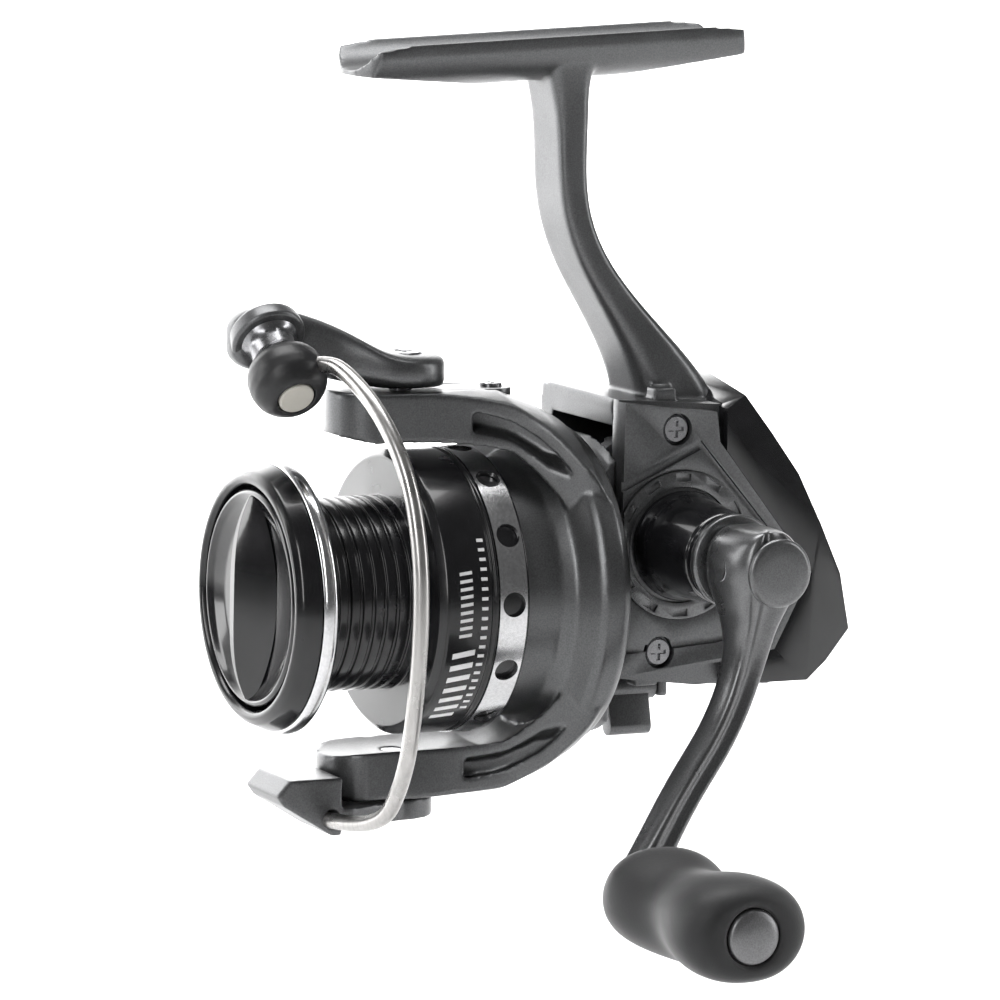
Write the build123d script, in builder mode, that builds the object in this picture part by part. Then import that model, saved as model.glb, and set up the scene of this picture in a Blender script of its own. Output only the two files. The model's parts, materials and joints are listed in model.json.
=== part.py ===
from build123d import *

import os
from math import cos, pi, radians, sin, sqrt

# Spinning reel, size 1000, left-hand view with the crank towards -Y.
# Everything is drawn about the main shaft: X runs along it with the spool at -X, the crank
# axis crosses above X = 0, and Z points at the rod. write() then tips the finished piece into
# the rod's frame, whose origin lies on the rod-seat axis over the middle of the foot.

os.makedirs("parts", exist_ok=True)

# ---- driving dimensions, millimetres ----
ROD_TILT = 3.0                      # the shaft points this far off the rod's line, degrees
FOOT_X, FOOT_Z = -16.7, 79.5        # rod-seat axis over the middle of the foot
SEAT_R, FOOT_WIDE, FOOT_LONG = 8.1, 13.4, 58.0

CRANK_Z = 6.5                       # crank axis above the shaft axis
SHAFT_R, RUN = 1.45, 0.05           # main shaft and the running clearance round it
AXLE_R = 3.0                        # crank axle

PINION_TEETH, GEAR_TEETH = 10, 48   # 4.8 turns of the rotor for one of the crank
PINION_R = 2.7                      # pitch radius
PINION_ROOT, PINION_TIP = 2.1, 3.15
GEAR_R, GEAR_RING_R = 15.0, 12.4
GEAR_FACE, GEAR_TOOTH_TOP = 3.3, 2.35   # distances of the gear's face and tooth tops from the shaft

SMALL_TEETH, LARGE_TEETH = 12, 25   # oscillation train
SMALL_R, LARGE_R, SPUR_ADD, SPUR_DED = 3.9, 8.125, 0.48, 0.66
SLIDER_X = 11.8                     # crosshead at mid stroke
THROW = 4.5                         # eccentric of the oscillation gear, half the spool stroke

CASE_NEAR, CASE_FAR = 9.0, 10.8     # case from the side cover's joint to its far wall
WALL = 1.6
PLATE = 12.6                        # raised plates on both flanks

ROTOR_R = 22.3                      # rim of the rotor cup
ARM_END, PIVOT_X, ARM_TOP = -47.0, -36.5, 27.4
SKIRT_R, SKIRT_FRONT, SKIRT_REAR = 19.2, -38.7, -25.8
ARBOR_R, LIP_R, SPOOL_NOSE = 13.0, 18.5, -58.4
CLICK_HOLES = 13

KNOB_X, KNOB_Z = -18.2, -34.6       # knob axis, parallel to the crank
KNOB_IN, KNOB_OUT = 39.8, 69.3      # distances of the knob's ends from the shaft's plane

# ---- planes ----
NEAR = Plane.XZ                                                     # drawn X, Z, raised towards -Y
CRANK = Plane(origin=(0, 0, CRANK_Z), x_dir=(1, 0, 0), z_dir=(0, -1, 0))
KNOB = Plane(origin=(KNOB_X, 0, KNOB_Z), x_dir=(1, 0, 0), z_dir=(0, -1, 0))
TILT = radians(ROD_TILT)
FOOT = Plane(origin=(FOOT_X, 0, FOOT_Z), x_dir=(cos(TILT), 0, sin(TILT)), z_dir=(-sin(TILT), 0, cos(TILT)))


def write(builder, name):
    """Label a finished piece, carry it from the shaft's frame to the rod's frame and write it."""
    builder.part.label = name
    placed = builder.part.moved(FOOT.location.inverse())
    placed.label = name
    export_step(placed, f"parts/{name}.step")


def outline(plane, points):
    """A closed straight-sided face on a plane."""
    with BuildSketch(plane) as sketch:
        with BuildLine():
            Polyline(*points, close=True)
        make_face()
    return sketch.sketch


def turned(points):
    """A profile of (x, radius) points turned about the main shaft."""
    with BuildPart() as body:
        revolve(outline(Plane.XY, points), axis=Axis.X)
    return body.part


def tube(plane, inner, outer, low, high):
    """A plain ring between two heights over a plane."""
    with BuildPart() as body:
        with BuildSketch(plane.offset(low)):
            Circle(outer)
            if inner:
                Circle(inner, mode=Mode.SUBTRACT)
        extrude(amount=high - low)
    return body.part


def shaft_plane(x=0.0):
    """The plane across the main shaft at x, facing the rear."""
    return Plane(origin=(x, 0, 0), x_dir=(0, 1, 0), z_dir=(1, 0, 0))


def bearing(plane, bore, outer, low, high):
    """A ball bearing: two races and their balls, as separate solids."""
    ring = (outer - bore) * 0.22
    pitch, ball, gap = (bore + outer) / 2, (outer - bore) / 2 - ring, 0.04
    count = int(2 * pi * pitch / (2.4 * ball))
    with BuildPart(plane.offset((low + high) / 2)) as balls:
        with PolarLocations(pitch, count):
            Sphere(min(ball - gap, (high - low) / 2 - gap))
    with BuildPart() as body:
        add(tube(plane, bore, bore + ring, low, high))
        add(tube(plane, outer - ring, outer, low, high))
        add(balls.part)
    return body


def screw(plane, shank, head, length, head_high, recess=0.35):
    """A cross-head screw: its head stands on the plane and the shank goes down through it."""
    with BuildPart() as body:
        with BuildSketch(plane):
            Circle(head)
        extrude(amount=head_high)
        chamfer(body.faces().sort_by(SortBy.AREA)[-1].edges(), head_high * 0.2)
        with BuildSketch(plane):
            Circle(shank)
        extrude(amount=-length)
        with BuildSketch(plane.offset(head_high)):
            Rectangle(head * 1.2, head * 0.3)
            Rectangle(head * 0.3, head * 1.2)
        extrude(amount=-recess, mode=Mode.SUBTRACT)
    return body.part


def spur(plane, teeth, pitch_r, low, high, turn=0.0):
    """A spur gear disc with straight-flanked teeth, one tooth pointing at turn degrees."""
    half = pi * pitch_r / teeth * 0.39
    root, tip = pitch_r - SPUR_DED, pitch_r + SPUR_ADD
    with BuildPart() as body:
        with BuildSketch(plane.offset(low)):
            Circle(root)
            with PolarLocations(0, teeth, start_angle=turn):
                Polygon(
                    (root - 0.3, -half * 1.5), (root - 0.3, half * 1.5),
                    (tip, half * 0.55), (tip, -half * 0.55), align=None,
                )
        extrude(amount=high - low)
    return body.part


# ---- body frame: foot, stem and gear case in one casting ----
CASE = [(-9, 26.2), (6.8, 25.2), (12.2, 20.5), (20.6, 11.6), (23.3, 1.8), (23.8, -6.5),
        (20.6, -12.6), (4, -13.2), (-9, -11.6)]
INNER = [(-8.9, 24.6), (6.2, 23.6), (11, 19.4), (19.2, 10.8), (21.7, 1.3), (22.2, -6.2),
         (19.8, -11), (4, -11.6), (-8.9, -10)]
FLANK = [(-9, 26), (5, 24.4), (5.6, 20.3), (20.4, 1.9), (15, -8.5), (7, -9.8), (-9, -11.3)]
# Stem sections: height, front, rear and width
STEM = [(72.6, -18, -8.6, 11.4), (66, -16.4, -11.2, 9.8), (58, -15.5, -11.3, 9.6), (50, -14.4, -10.3, 9.8),
        (42, -11, -5.8, 10.4), (34, -6.2, 1.8, 11.6), (27, -3.1, 7.9, 13), (22, -2.5, 8.6, 13.6)]
FOOT_RAIL, FOOT_SIDE, FOOT_KEEL = -4.53, -6.5, -11.0    # foot heights under the rod-seat axis

with BuildPart() as stem:
    for height, front, rear, wide in STEM:
        with BuildSketch(Plane.XY.offset(height)):
            with Locations(((front + rear) / 2, 0)):
                RectangleRounded(rear - front, wide, 0.3 * (rear - front))
    loft()

with BuildPart() as foot:
    with BuildSketch(FOOT * Plane(origin=(-FOOT_LONG / 2, 0, 0), x_dir=(0, 1, 0), z_dir=(1, 0, 0))):
        with BuildLine():
            half = FOOT_WIDE / 2
            ThreePointArc((-half, FOOT_SIDE), (0, FOOT_KEEL), (half, FOOT_SIDE))
            Line((half, FOOT_SIDE), (half, FOOT_RAIL))
            Line((half, FOOT_RAIL), (-half, FOOT_RAIL))
            Line((-half, FOOT_RAIL), (-half, FOOT_SIDE))
        make_face()
    extrude(amount=FOOT_LONG)
    # the ends are bowed in plan, and thin out below so that the hoods slide on
    with BuildSketch(FOOT.offset(-12)):
        with BuildLine():
            end, side = FOOT_LONG / 2, FOOT_WIDE / 2
            RadiusArc((end - 2, side), (end - 2, -side), 12)
            Line((end - 2, -side), (-end + 2, -side))
            RadiusArc((-end + 2, -side), (-end + 2, side), 12)
            Line((-end + 2, side), (end - 2, side))
        make_face()
    extrude(amount=10, mode=Mode.INTERSECT)
    for end in (-1, 1):
        tip, root = end * FOOT_LONG / 2, end * (FOOT_LONG / 2 - 19)
        wedge = [(tip * 1.02, FOOT_KEEL - 1), (tip * 1.02, FOOT_KEEL + 2.3), (root, FOOT_KEEL),
                (root, FOOT_KEEL - 1)]
        extrude(outline(FOOT * Plane.XZ, wedge), amount=FOOT_WIDE, both=True, mode=Mode.SUBTRACT)
        shoulder = end * (FOOT_LONG / 2 - 8)
        slope = [(shoulder, FOOT_RAIL + 1), (shoulder, FOOT_RAIL), (tip * 1.02, FOOT_RAIL - 1.2),
                (tip * 1.02, FOOT_RAIL + 1)]
        extrude(outline(FOOT * Plane.XZ, slope), amount=FOOT_WIDE, both=True, mode=Mode.SUBTRACT)

# the nose, no wider than the case, that carries the pinion's bearing in front of the drive gear
NOSE_SIDE = 10.4
with BuildPart() as nose:
    add(turned([(-8.95, 0), (-8.95, 20.6), (-10, 20.1), (-13, 16.8), (-16.2, 13.4), (-17, 13.4), (-17, 8),
                (-20, 8), (-20, 0)]))
    with Locations((-14, 0, 0)):
        Box(20, 2 * NOSE_SIDE, 50, mode=Mode.INTERSECT)
with BuildPart() as nose_hollow:
    add(turned([(-8.8, 0), (-8.8, 19.5), (-10, 19), (-13, 15.6), (-15.4, 11.8), (-15.4, 0)]))
    with Locations((-14, 0, 0)):
        Box(20, 2 * (NOSE_SIDE - 1.3), 50, mode=Mode.INTERSECT)

# the oscillation gear's axis and the side cover's screws
OSC_Z = CRANK_Z - sqrt((SMALL_R + LARGE_R) ** 2 - SLIDER_X ** 2)
OSC = Plane(origin=(SLIDER_X, 0, OSC_Z), x_dir=(1, 0, 0), z_dir=(0, -1, 0))
COVER_SCREWS = [(-1.0, 22.2), (-2.7, -8.1), (12.0, -6.4)]
LEVER_Z = -15.0                     # axis of the anti-reverse lever
with BuildPart() as body_frame:
    extrude(outline(NEAR.offset(-CASE_FAR), CASE), amount=CASE_FAR + CASE_NEAR)
    extrude(outline(NEAR.offset(-PLATE), FLANK), amount=PLATE - CASE_FAR)
    add(nose.part)
    add(stem.part)
    add(foot.part)
    with BuildSketch(FOOT * Plane(origin=(-FOOT_LONG / 2 - 1, 0, 0), x_dir=(0, 1, 0), z_dir=(1, 0, 0))):
        Circle(SEAT_R)
    extrude(amount=FOOT_LONG + 2, mode=Mode.SUBTRACT)
    # gearbox cavity, open towards the side cover, and the hollow nose
    extrude(outline(NEAR.offset(-CASE_FAR + WALL), INNER), amount=CASE_FAR + CASE_NEAR, mode=Mode.SUBTRACT)
    add(nose_hollow.part, mode=Mode.SUBTRACT)
    # bearing seat in the nose
    add(tube(shaft_plane(), 0, 6.0, -21, -16.8), mode=Mode.SUBTRACT)
    add(tube(shaft_plane(), 0, 4.6, -17, -15), mode=Mode.SUBTRACT)
    # far bearing seat round the crank axis and the far port
    add(tube(CRANK, 5.0, 6.6, -CASE_FAR + WALL, -7.2))
    add(tube(CRANK, 0, 5.0, -CASE_FAR + 0.8, -7.2), mode=Mode.SUBTRACT)
    add(tube(CRANK, 0, 3.6, -PLATE - 0.1, -CASE_FAR + 1), mode=Mode.SUBTRACT)
    # bridge for the pinion's rear bush
    with Locations((-6.7, 3.6, 1.0)):
        Box(1.8, 11.6, 6.8)
    add(tube(shaft_plane(), 0, 3.4, -7.6, -5.8))
    add(tube(shaft_plane(), 0, 2.9, -8, -5), mode=Mode.SUBTRACT)
    # posts that carry the guide rod
    for post in (3.1, 19.9):
        with Locations((post, 0, -9.2)):
            Box(1.6, 4.0, 5.6)
    # boss for the oscillation gear's axle
    add(tube(OSC, 1.5, 3.4, -CASE_FAR + WALL - 0.1, -7.0))
    # screw posts for the side cover
    for x, z in COVER_SCREWS:
        with BuildSketch(NEAR.offset(6.3)):
            with Locations((x, z)):
                Circle(2.6)
            with Locations((x, z + 2.6 * (1 if z > 0 else -1))):
                Rectangle(3.4, 5.2)
        extrude(amount=CASE_NEAR - 6.3)
        with BuildSketch(NEAR.offset(CASE_NEAR + 0.1)):
            with Locations((x, z)):
                Circle(1.0)
        extrude(amount=-8, mode=Mode.SUBTRACT)
    # lugs for the anti-reverse lever
    for lug in (-7.4, 3.0):
        with BuildSketch(shaft_plane(lug)):
            with Locations((0, LEVER_Z + 1)):
                Rectangle(4, 4.4)
            with Locations((0, LEVER_Z)):
                Circle(0.8, mode=Mode.SUBTRACT)
        extrude(amount=1.4)
write(body_frame, "body_frame")

# ---- side cover ----
COVER_SEAT = 10.6                   # the plain rim under the rear cover
GROOVE = [(2.7, 20.6), (-9.2, 15.2), (-9.2, -8.2), (5.8, -7.2), (12.9, -5.9), (19.4, 1.6)]
INSIDE = [(2.8, 19.4), (-9.2, 13.9), (-9.2, -7.2), (5.6, -6.3), (12.4, -5.1), (18.0, 1.8)]
with BuildPart() as groove:
    extrude(outline(NEAR.offset(PLATE - 0.6), GROOVE), amount=1)
    extrude(outline(NEAR.offset(PLATE - 0.6), INSIDE), amount=1, mode=Mode.SUBTRACT)
with BuildPart() as side_cover:
    extrude(outline(NEAR.offset(CASE_NEAR), CASE), amount=COVER_SEAT - CASE_NEAR)
    extrude(outline(NEAR.offset(COVER_SEAT), FLANK), amount=PLATE - COVER_SEAT)
    add(groove.part, mode=Mode.SUBTRACT)
    with Locations((-19, -11, 6)):
        Box(20.1, 6, 60, mode=Mode.SUBTRACT)
    # bearing seat and its lip
    add(tube(CRANK, 5.0, 6.6, 7.6, CASE_NEAR))
    add(tube(CRANK, 0, 5.0, 7.5, 11.4), mode=Mode.SUBTRACT)
    add(tube(CRANK, 0, 3.7, 11.3, PLATE + 1), mode=Mode.SUBTRACT)
    add(tube(CRANK, 7.8, 10.2, PLATE - 0.4, PLATE + 0.1), mode=Mode.SUBTRACT)
    for x, z in COVER_SCREWS:
        with BuildSketch(NEAR.offset(PLATE + 0.1)):
            with Locations((x, z)):
                Circle(2.2)
        extrude(amount=-1.6, mode=Mode.SUBTRACT)
        with BuildSketch(NEAR.offset(CASE_NEAR)):
            with Locations((x, z)):
                Circle(1.1)
        extrude(amount=3, mode=Mode.SUBTRACT)
write(side_cover, "side_cover")

with BuildPart() as side_cover_screws:
    for x, z in COVER_SCREWS:
        add(screw(Plane(origin=(x, -PLATE + 1.5, z), x_dir=(1, 0, 0), z_dir=(0, -1, 0)), 0.98, 1.9, 5.0,
                1.1))
write(side_cover_screws, "side_cover_screws")

# ---- notched ring round the handle boss ----
with BuildPart() as bearing_trim_ring:
    add(tube(CRANK, 7.9, 10.1, PLATE - 0.4, PLATE + 0.4))
    with BuildSketch(CRANK.offset(PLATE + 0.4)):
        with PolarLocations(9.2, 12):
            Rectangle(1.0, 2.2)
    extrude(amount=-0.4, mode=Mode.SUBTRACT)
    with Locations((-19, -13, 6)):
        Box(20.2, 6, 60, mode=Mode.SUBTRACT)
write(bearing_trim_ring, "bearing_trim_ring")

# ---- black rear cover: a faceted shell that hugs the back of the case ----
SHELL = [(5.0, 25.6), (9.6, 28.6), (14.8, 22.2), (19.2, 16.4), (23, 9.2), (26.4, 2), (28.2, -6.6),
         (24.2, -11.6), (20.8, -14.6), (7.0, -14.6), (6.0, -12.6)]
with BuildPart() as rear_cover:
    extrude(outline(NEAR, SHELL), amount=PLATE, both=True, taper=7)
    seat = offset(outline(NEAR.offset(COVER_SEAT + 0.05), CASE), amount=0.08, mode=Mode.PRIVATE)
    extrude(seat, amount=-(COVER_SEAT + CASE_FAR + 0.1), mode=Mode.SUBTRACT)
    flank = offset(outline(NEAR, FLANK), amount=0.08, mode=Mode.PRIVATE)
    extrude(flank, amount=20, both=True, mode=Mode.SUBTRACT)
    add(stem.part, mode=Mode.SUBTRACT)
    with BuildSketch(Plane.YX.offset(11.5)):
        with Locations((-6, 17), (6, 17)):
            Circle(1.05)
    extrude(amount=5, mode=Mode.SUBTRACT)
write(rear_cover, "rear_cover")

with BuildPart() as rear_cover_screws:
    for side in (-6, 6):
        add(screw(Plane(origin=(17, side, -13.7), x_dir=(1, 0, 0), z_dir=(0, 0, -1)), 0.95, 1.0, 0.6,
                0.6, 0.3))
write(rear_cover_screws, "rear_cover_screws")

# ---- anti-reverse lever, swinging on a pin under the case ----
with BuildPart() as anti_reverse_lever:
    with BuildSketch(shaft_plane(-5.8)):
        with Locations((0, LEVER_Z)):
            Circle(1.7)
            Circle(0.86, mode=Mode.SUBTRACT)
    extrude(amount=8.6)
    with BuildSketch(shaft_plane(-4.6)):
        with Locations((-0.9, LEVER_Z - 3.2)):
            SlotOverall(6.4, 2.6, rotation=75)
        with Locations((0, LEVER_Z)):
            Circle(1.2, mode=Mode.SUBTRACT)
    extrude(amount=6.2)
write(anti_reverse_lever, "anti_reverse_lever")

with BuildPart() as anti_reverse_pin:
    with BuildSketch(shaft_plane(-7.4)):
        with Locations((0, LEVER_Z)):
            Circle(0.8)
    extrude(amount=11.8)
write(anti_reverse_pin, "anti_reverse_pin")

# ---- bearings ----
with BuildPart() as drive_bearings:
    add(bearing(CRANK, AXLE_R + RUN, 5.0, 8.2, 11.2).part)
    add(bearing(CRANK, AXLE_R + RUN, 5.0, -9.9, -7.4).part)
write(drive_bearings, "drive_bearings")
write(bearing(shaft_plane(), AXLE_R + RUN, 6.0, -19.9, -16.9), "pinion_bearing")
with BuildPart() as pinion_rear_bush:
    add(tube(shaft_plane(), 2.1, 2.9, -7.6, -5.8))
write(pinion_rear_bush, "pinion_rear_bush")

# ---- one-way clutch on the nose ----
CLUTCH_OUT, ROLLER, SLEEVE_R, ROLLERS = 11.5, 0.9, 4.4, 8
with BuildPart() as clutch_ring:
    add(tube(shaft_plane(), 6.4, CLUTCH_OUT, -24.9, -20.05))
    with BuildSketch(shaft_plane(-24.9)):
        with PolarLocations(SLEEVE_R + ROLLER + 0.06, ROLLERS):
            Circle(1.15)
        with PolarLocations(9.2, 3):
            Circle(0.95)
    extrude(amount=5, mode=Mode.SUBTRACT)
write(clutch_ring, "clutch_ring")
with BuildPart() as clutch_rollers:
    with BuildSketch(shaft_plane(-24.6)):
        with PolarLocations(SLEEVE_R + ROLLER + 0.06, ROLLERS):
            Circle(ROLLER)
    extrude(amount=4.2)
write(clutch_rollers, "clutch_rollers")
with BuildPart() as clutch_screws:
    for turn in (0, 120, 240):
        spot = Plane(origin=(-24.95, 9.2 * cos(radians(turn)), 9.2 * sin(radians(turn))), z_dir=(-1, 0, 0))
        add(screw(spot, 0.9, 1.5, 4.8, 0.6, 0.3))
write(clutch_screws, "clutch_screws")
with BuildPart() as clutch_sleeve:
    add(tube(shaft_plane(), AXLE_R, SLEEVE_R, -25.6, -20.2))
write(clutch_sleeve, "clutch_sleeve")

# ---- pinion: teeth at the back, journal, shank and thread, all bored for the main shaft ----
with BuildPart() as pinion_gear:
    half = pi * PINION_R / PINION_TEETH
    with BuildSketch(shaft_plane(-14.9)):
        Circle(PINION_ROOT)
        with PolarLocations(0, PINION_TEETH, start_angle=180 / PINION_TEETH):
            Polygon(
                (PINION_ROOT - 0.3, -half * 0.62), (PINION_ROOT - 0.3, half * 0.62),
                (PINION_TIP, half * 0.19), (PINION_TIP, -half * 0.19), align=None,
            )
    extrude(amount=5.4)
    add(tube(shaft_plane(), 0, 2.05, -10, -5.7))
    add(tube(shaft_plane(), 0, AXLE_R, -31.2, -14.9))
    add(tube(shaft_plane(), 0, 3.6, -16.7, -14.9))
    add(tube(shaft_plane(), 0, SHAFT_R + RUN, -33, -5), mode=Mode.SUBTRACT)
write(pinion_gear, "pinion_gear")

# ---- drive gear: a face gear whose tooth lines all pass the crank axis at the shaft's distance ----
with BuildPart() as tooth_gap:
    with BuildSketch(Plane(origin=(-16, -CRANK_Z, 0), x_dir=(0, 1, 0), z_dir=(1, 0, 0))):
        Polygon((-0.68, 2.2), (-0.42, GEAR_FACE), (0.42, GEAR_FACE), (0.68, 2.2), align=None)
    extrude(amount=7)
with BuildPart(CRANK) as drive_gear:
    with BuildSketch(CRANK.offset(GEAR_TOOTH_TOP)):
        Circle(GEAR_R)
        Circle(GEAR_RING_R, mode=Mode.SUBTRACT)
    extrude(amount=3.3)
    with PolarLocations(0, GEAR_TEETH, start_angle=180 / GEAR_TEETH):
        add(tooth_gap.part, mode=Mode.SUBTRACT)
    with BuildSketch(CRANK.offset(4.6)):
        Circle(GEAR_RING_R + 0.2)
        Circle(AXLE_R, mode=Mode.SUBTRACT)
        with PolarLocations(7.6, 5):
            Circle(1.7, mode=Mode.SUBTRACT)
    extrude(amount=1.0)
    with BuildSketch(CRANK.offset(4.6)):
        Circle(4.8)
        Circle(AXLE_R, mode=Mode.SUBTRACT)
    extrude(amount=3.2)
write(drive_gear, "drive_gear")

with BuildPart() as drive_shaft:
    add(tube(CRANK, 0, AXLE_R, -9.9, 11.9))
    add(tube(CRANK, 0, 1.9, 3.0, 12), mode=Mode.SUBTRACT)
write(drive_shaft, "drive_shaft")

# ---- oscillation train ----
AIM = Plane(origin=(0, 0, CRANK_Z), x_dir=(SLIDER_X, 0, OSC.origin.Z - CRANK_Z), z_dir=(0, -1, 0))
with BuildPart() as oscillation_pinion:
    add(spur(AIM, SMALL_TEETH, SMALL_R, -6.4, -4.4))
    add(tube(CRANK, 0, AXLE_R, -7, -4), mode=Mode.SUBTRACT)
write(oscillation_pinion, "oscillation_pinion")

BACK = Plane(origin=OSC.origin, x_dir=-AIM.x_dir, z_dir=(0, -1, 0))
with BuildPart() as oscillation_gear:
    add(spur(BACK, LARGE_TEETH, LARGE_R, -6.4, -4.6, turn=180 / LARGE_TEETH))
    add(tube(OSC, 0, 1.5, -7, -4), mode=Mode.SUBTRACT)
    PIN_SPOT = Plane(origin=(SLIDER_X, 0, OSC.origin.Z - THROW), x_dir=(1, 0, 0), z_dir=(0, -1, 0))
    add(tube(PIN_SPOT, 0, 1.1, -4.7, -3.6))
write(oscillation_gear, "oscillation_gear")

with BuildPart() as oscillation_axle:
    add(tube(OSC, 0, 1.45, -9.1, -4.3))
    add(tube(OSC, 0, 2.4, -4.5, -4.0))
write(oscillation_axle, "oscillation_axle")

with BuildPart() as guide_rod:
    add(tube(Plane(origin=(0, 0, -8), x_dir=(0, 1, 0), z_dir=(1, 0, 0)), 0, 1.0, 3.9, 19.1))
write(guide_rod, "crosshead_guide_rod")

# ---- the sliding group: main shaft, crosshead, spool seat and click gear ----
with BuildPart() as main_shaft:
    add(tube(shaft_plane(), 0, SHAFT_R, -57.4, 16.4))
    with Locations((SLIDER_X + 1.6, 0, 0)):
        Cylinder(0.6, 8, mode=Mode.SUBTRACT)
write(main_shaft, "main_shaft")
with BuildPart() as crosshead:
    with Locations((SLIDER_X, 0.65, -0.2)):
        Box(5.4, 5.5, 19.2)
    with Locations((SLIDER_X, 3.0, 4.6)):
        Box(2.5, 2.6, 12.4, mode=Mode.SUBTRACT)
    add(tube(shaft_plane(), 0, SHAFT_R, 0, 16.4), mode=Mode.SUBTRACT)
    add(tube(Plane(origin=(0, 0, -8), x_dir=(0, 1, 0), z_dir=(1, 0, 0)), 0, 1.05, 0, 30), mode=Mode.SUBTRACT)
    with Locations((SLIDER_X + 1.6, 0, 0)):
        Cylinder(0.6, 8, mode=Mode.SUBTRACT)
write(crosshead, "crosshead")
with BuildPart() as crosshead_pin:
    with Locations((SLIDER_X + 1.6, 0, 0)):
        Cylinder(0.6, 7.6)
write(crosshead_pin, "crosshead_pin")
with BuildPart() as spool_seat:
    add(tube(shaft_plane(), SHAFT_R, 2.9, -40.2, -37.4))
write(spool_seat, "spool_seat")
with BuildPart() as click_gear:
    with BuildSketch(shaft_plane(-41.8)):
        Circle(6.2)
        with PolarLocations(0, 24):
            Polygon((6.0, -0.45), (6.0, 0.45), (7.0, 0), align=None)
        Circle(SHAFT_R, mode=Mode.SUBTRACT)
    extrude(amount=1.5)
write(click_gear, "click_gear")

# ---- rotor: cup, scalloped rim and two arms ----
CUP = [(-11.2, 19.6), (-11.4, 20.4), (-12.2, 21.7), (-13.2, ROTOR_R), (-15.6, ROTOR_R), (-16.5, 21.6),
        (-17.2, 20.4),
       (-18.4, 18.6), (-20.4, 17.5), (-28, 17.5), (-28, 3.0), (-26, 3.0), (-26, 15.7), (-19.2, 15.7),
       (-16.4, 17.8), (-14.8, 20.4), (-13.2, 20.4)]
ARM = [(-14.4, 20.6), (-13.4, 22.2), (-15, 23.6), (-19, 25.7), (-24, 27.5), (ARM_END, 28.6), (ARM_END, 21.6),
       (-24, 21.6), (-20.6, 20), (-18, 18.8)]
SCALLOP = [(-17.4, 22.4), (-20, 23.9), (-24, 25.3), (-29, 25.8), (-29, 23.2), (-24, 23), (-20, 21.8)]


def arm_outline(trim):
    """Seen along its pivot an arm flares from its round tip into the rim; trim narrows its sides."""
    side = [(-12, 18.5 - trim), (-17, 15.6 - trim), (-22, 11.2 - trim), (-28, 7.8 - trim), (-35, 6.4 - trim),
            (-43, 6.0 - trim)]
    with BuildSketch(Plane.XY) as sketch:
        with BuildLine():
            Line((side[0][0], -side[0][1]), side[0])
            Spline(side)
            ThreePointArc(side[-1], (ARM_END + trim, 0), (side[-1][0], -side[-1][1]))
            Spline([(x, -y) for x, y in reversed(side)])
        make_face()
    return sketch.sketch


with BuildPart() as scallop:
    # hollow in the flanks between the arm's outer rail and the rim
    add(turned(SCALLOP))
    extrude(arm_outline(3.2), amount=ARM_TOP, mode=Mode.SUBTRACT)
with BuildPart() as rotor_arm:
    extrude(arm_outline(0), amount=ARM_TOP)
    add(turned(ARM), mode=Mode.INTERSECT)
    add(scallop.part, mode=Mode.SUBTRACT)
with BuildPart() as rotor_frame:
    add(turned(CUP))
    for turn in (0, 180):
        add(rotor_arm.part.rotate(Axis.X, turn))
    for side in (1, -1):
        # pivot hole, spring pocket and cover seat of each arm
        lid = Plane(origin=(0, 0, side * ARM_TOP), x_dir=(1, 0, 0), z_dir=(0, 0, side))
        with BuildSketch(lid):
            with Locations((PIVOT_X, 0)):
                Circle(1.5)
        extrude(amount=-12, mode=Mode.SUBTRACT)
        with BuildSketch(lid.offset(2)):
            with Locations((-26.5, 0)):
                SlotOverall(12.6, 6.6)
        extrude(amount=-6.2, mode=Mode.SUBTRACT)
write(rotor_frame, "rotor_frame")

with BuildPart() as rotor_nut:
    with BuildSketch(shaft_plane(-30.3)):
        RegularPolygon(5.2, 6)
        Circle(AXLE_R, mode=Mode.SUBTRACT)
    extrude(amount=2.0)
write(rotor_nut, "rotor_nut")
COVER_LOW, COVER_HIGH = ARM_TOP - 1.4, ARM_TOP - 0.1
with BuildPart() as arm_covers:
    for side in (1, -1):
        with BuildSketch(Plane(origin=(0, 0, side * COVER_LOW), x_dir=(1, 0, 0), z_dir=(0, 0, side))):
            with Locations((-26.5, 0)):
                SlotOverall(12.4, 6.4)
            with Locations((-23, 0)):
                Circle(0.8, mode=Mode.SUBTRACT)
        extrude(amount=COVER_HIGH - COVER_LOW)
write(arm_covers, "arm_covers")
with BuildPart() as arm_cover_screws:
    for side in (1, -1):
        spot = Plane(origin=(-23, 0, side * COVER_HIGH), x_dir=(1, 0, 0), z_dir=(0, 0, side))
        add(screw(spot, 0.78, 1.5, 1.6, 0.5, 0.25))
write(arm_cover_screws, "arm_cover_screws")

# the spring and kick lever in the upper arm, the balance weight in the lower one
with BuildPart() as bail_spring:
    for turn in range(13):
        with Locations(Plane(origin=(-29.4 + turn * 0.42, 1.7, ARM_TOP - 2.8), z_dir=(1, 0, 0))):
            Torus(1.0, 0.23)
write(bail_spring, "bail_spring")
with BuildPart() as kick_lever:
    with BuildSketch(Plane.XY.offset(ARM_TOP - 3.9)):
        with Locations((-26.6, -1.4)):
            SlotOverall(11, 2.2)
    extrude(amount=1.6)
write(kick_lever, "bail_kick_lever")
with BuildPart() as balance_weight:
    with BuildSketch(Plane.XY.offset(1.8 - ARM_TOP)):
        with Locations((-27.3, 0)):
            SlotOverall(9, 5.6)
    extrude(amount=2.2)
write(balance_weight, "rotor_balance_weight")

# ---- bail ----
BOSS_LOW = ARM_TOP + 0.15           # the bail's two ends turn just clear of the rotor's arms
BOSS_HIGH = 4.5
LEVER_HIGH = 3.4
ROLL_TILT = radians(36)             # the line roller's axis leans down towards the near side
ROLL = Plane(origin=(-55.4, -0.6, 33.2), x_dir=(1, 0, 0), z_dir=(0, -cos(ROLL_TILT), -sin(ROLL_TILT)))


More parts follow.
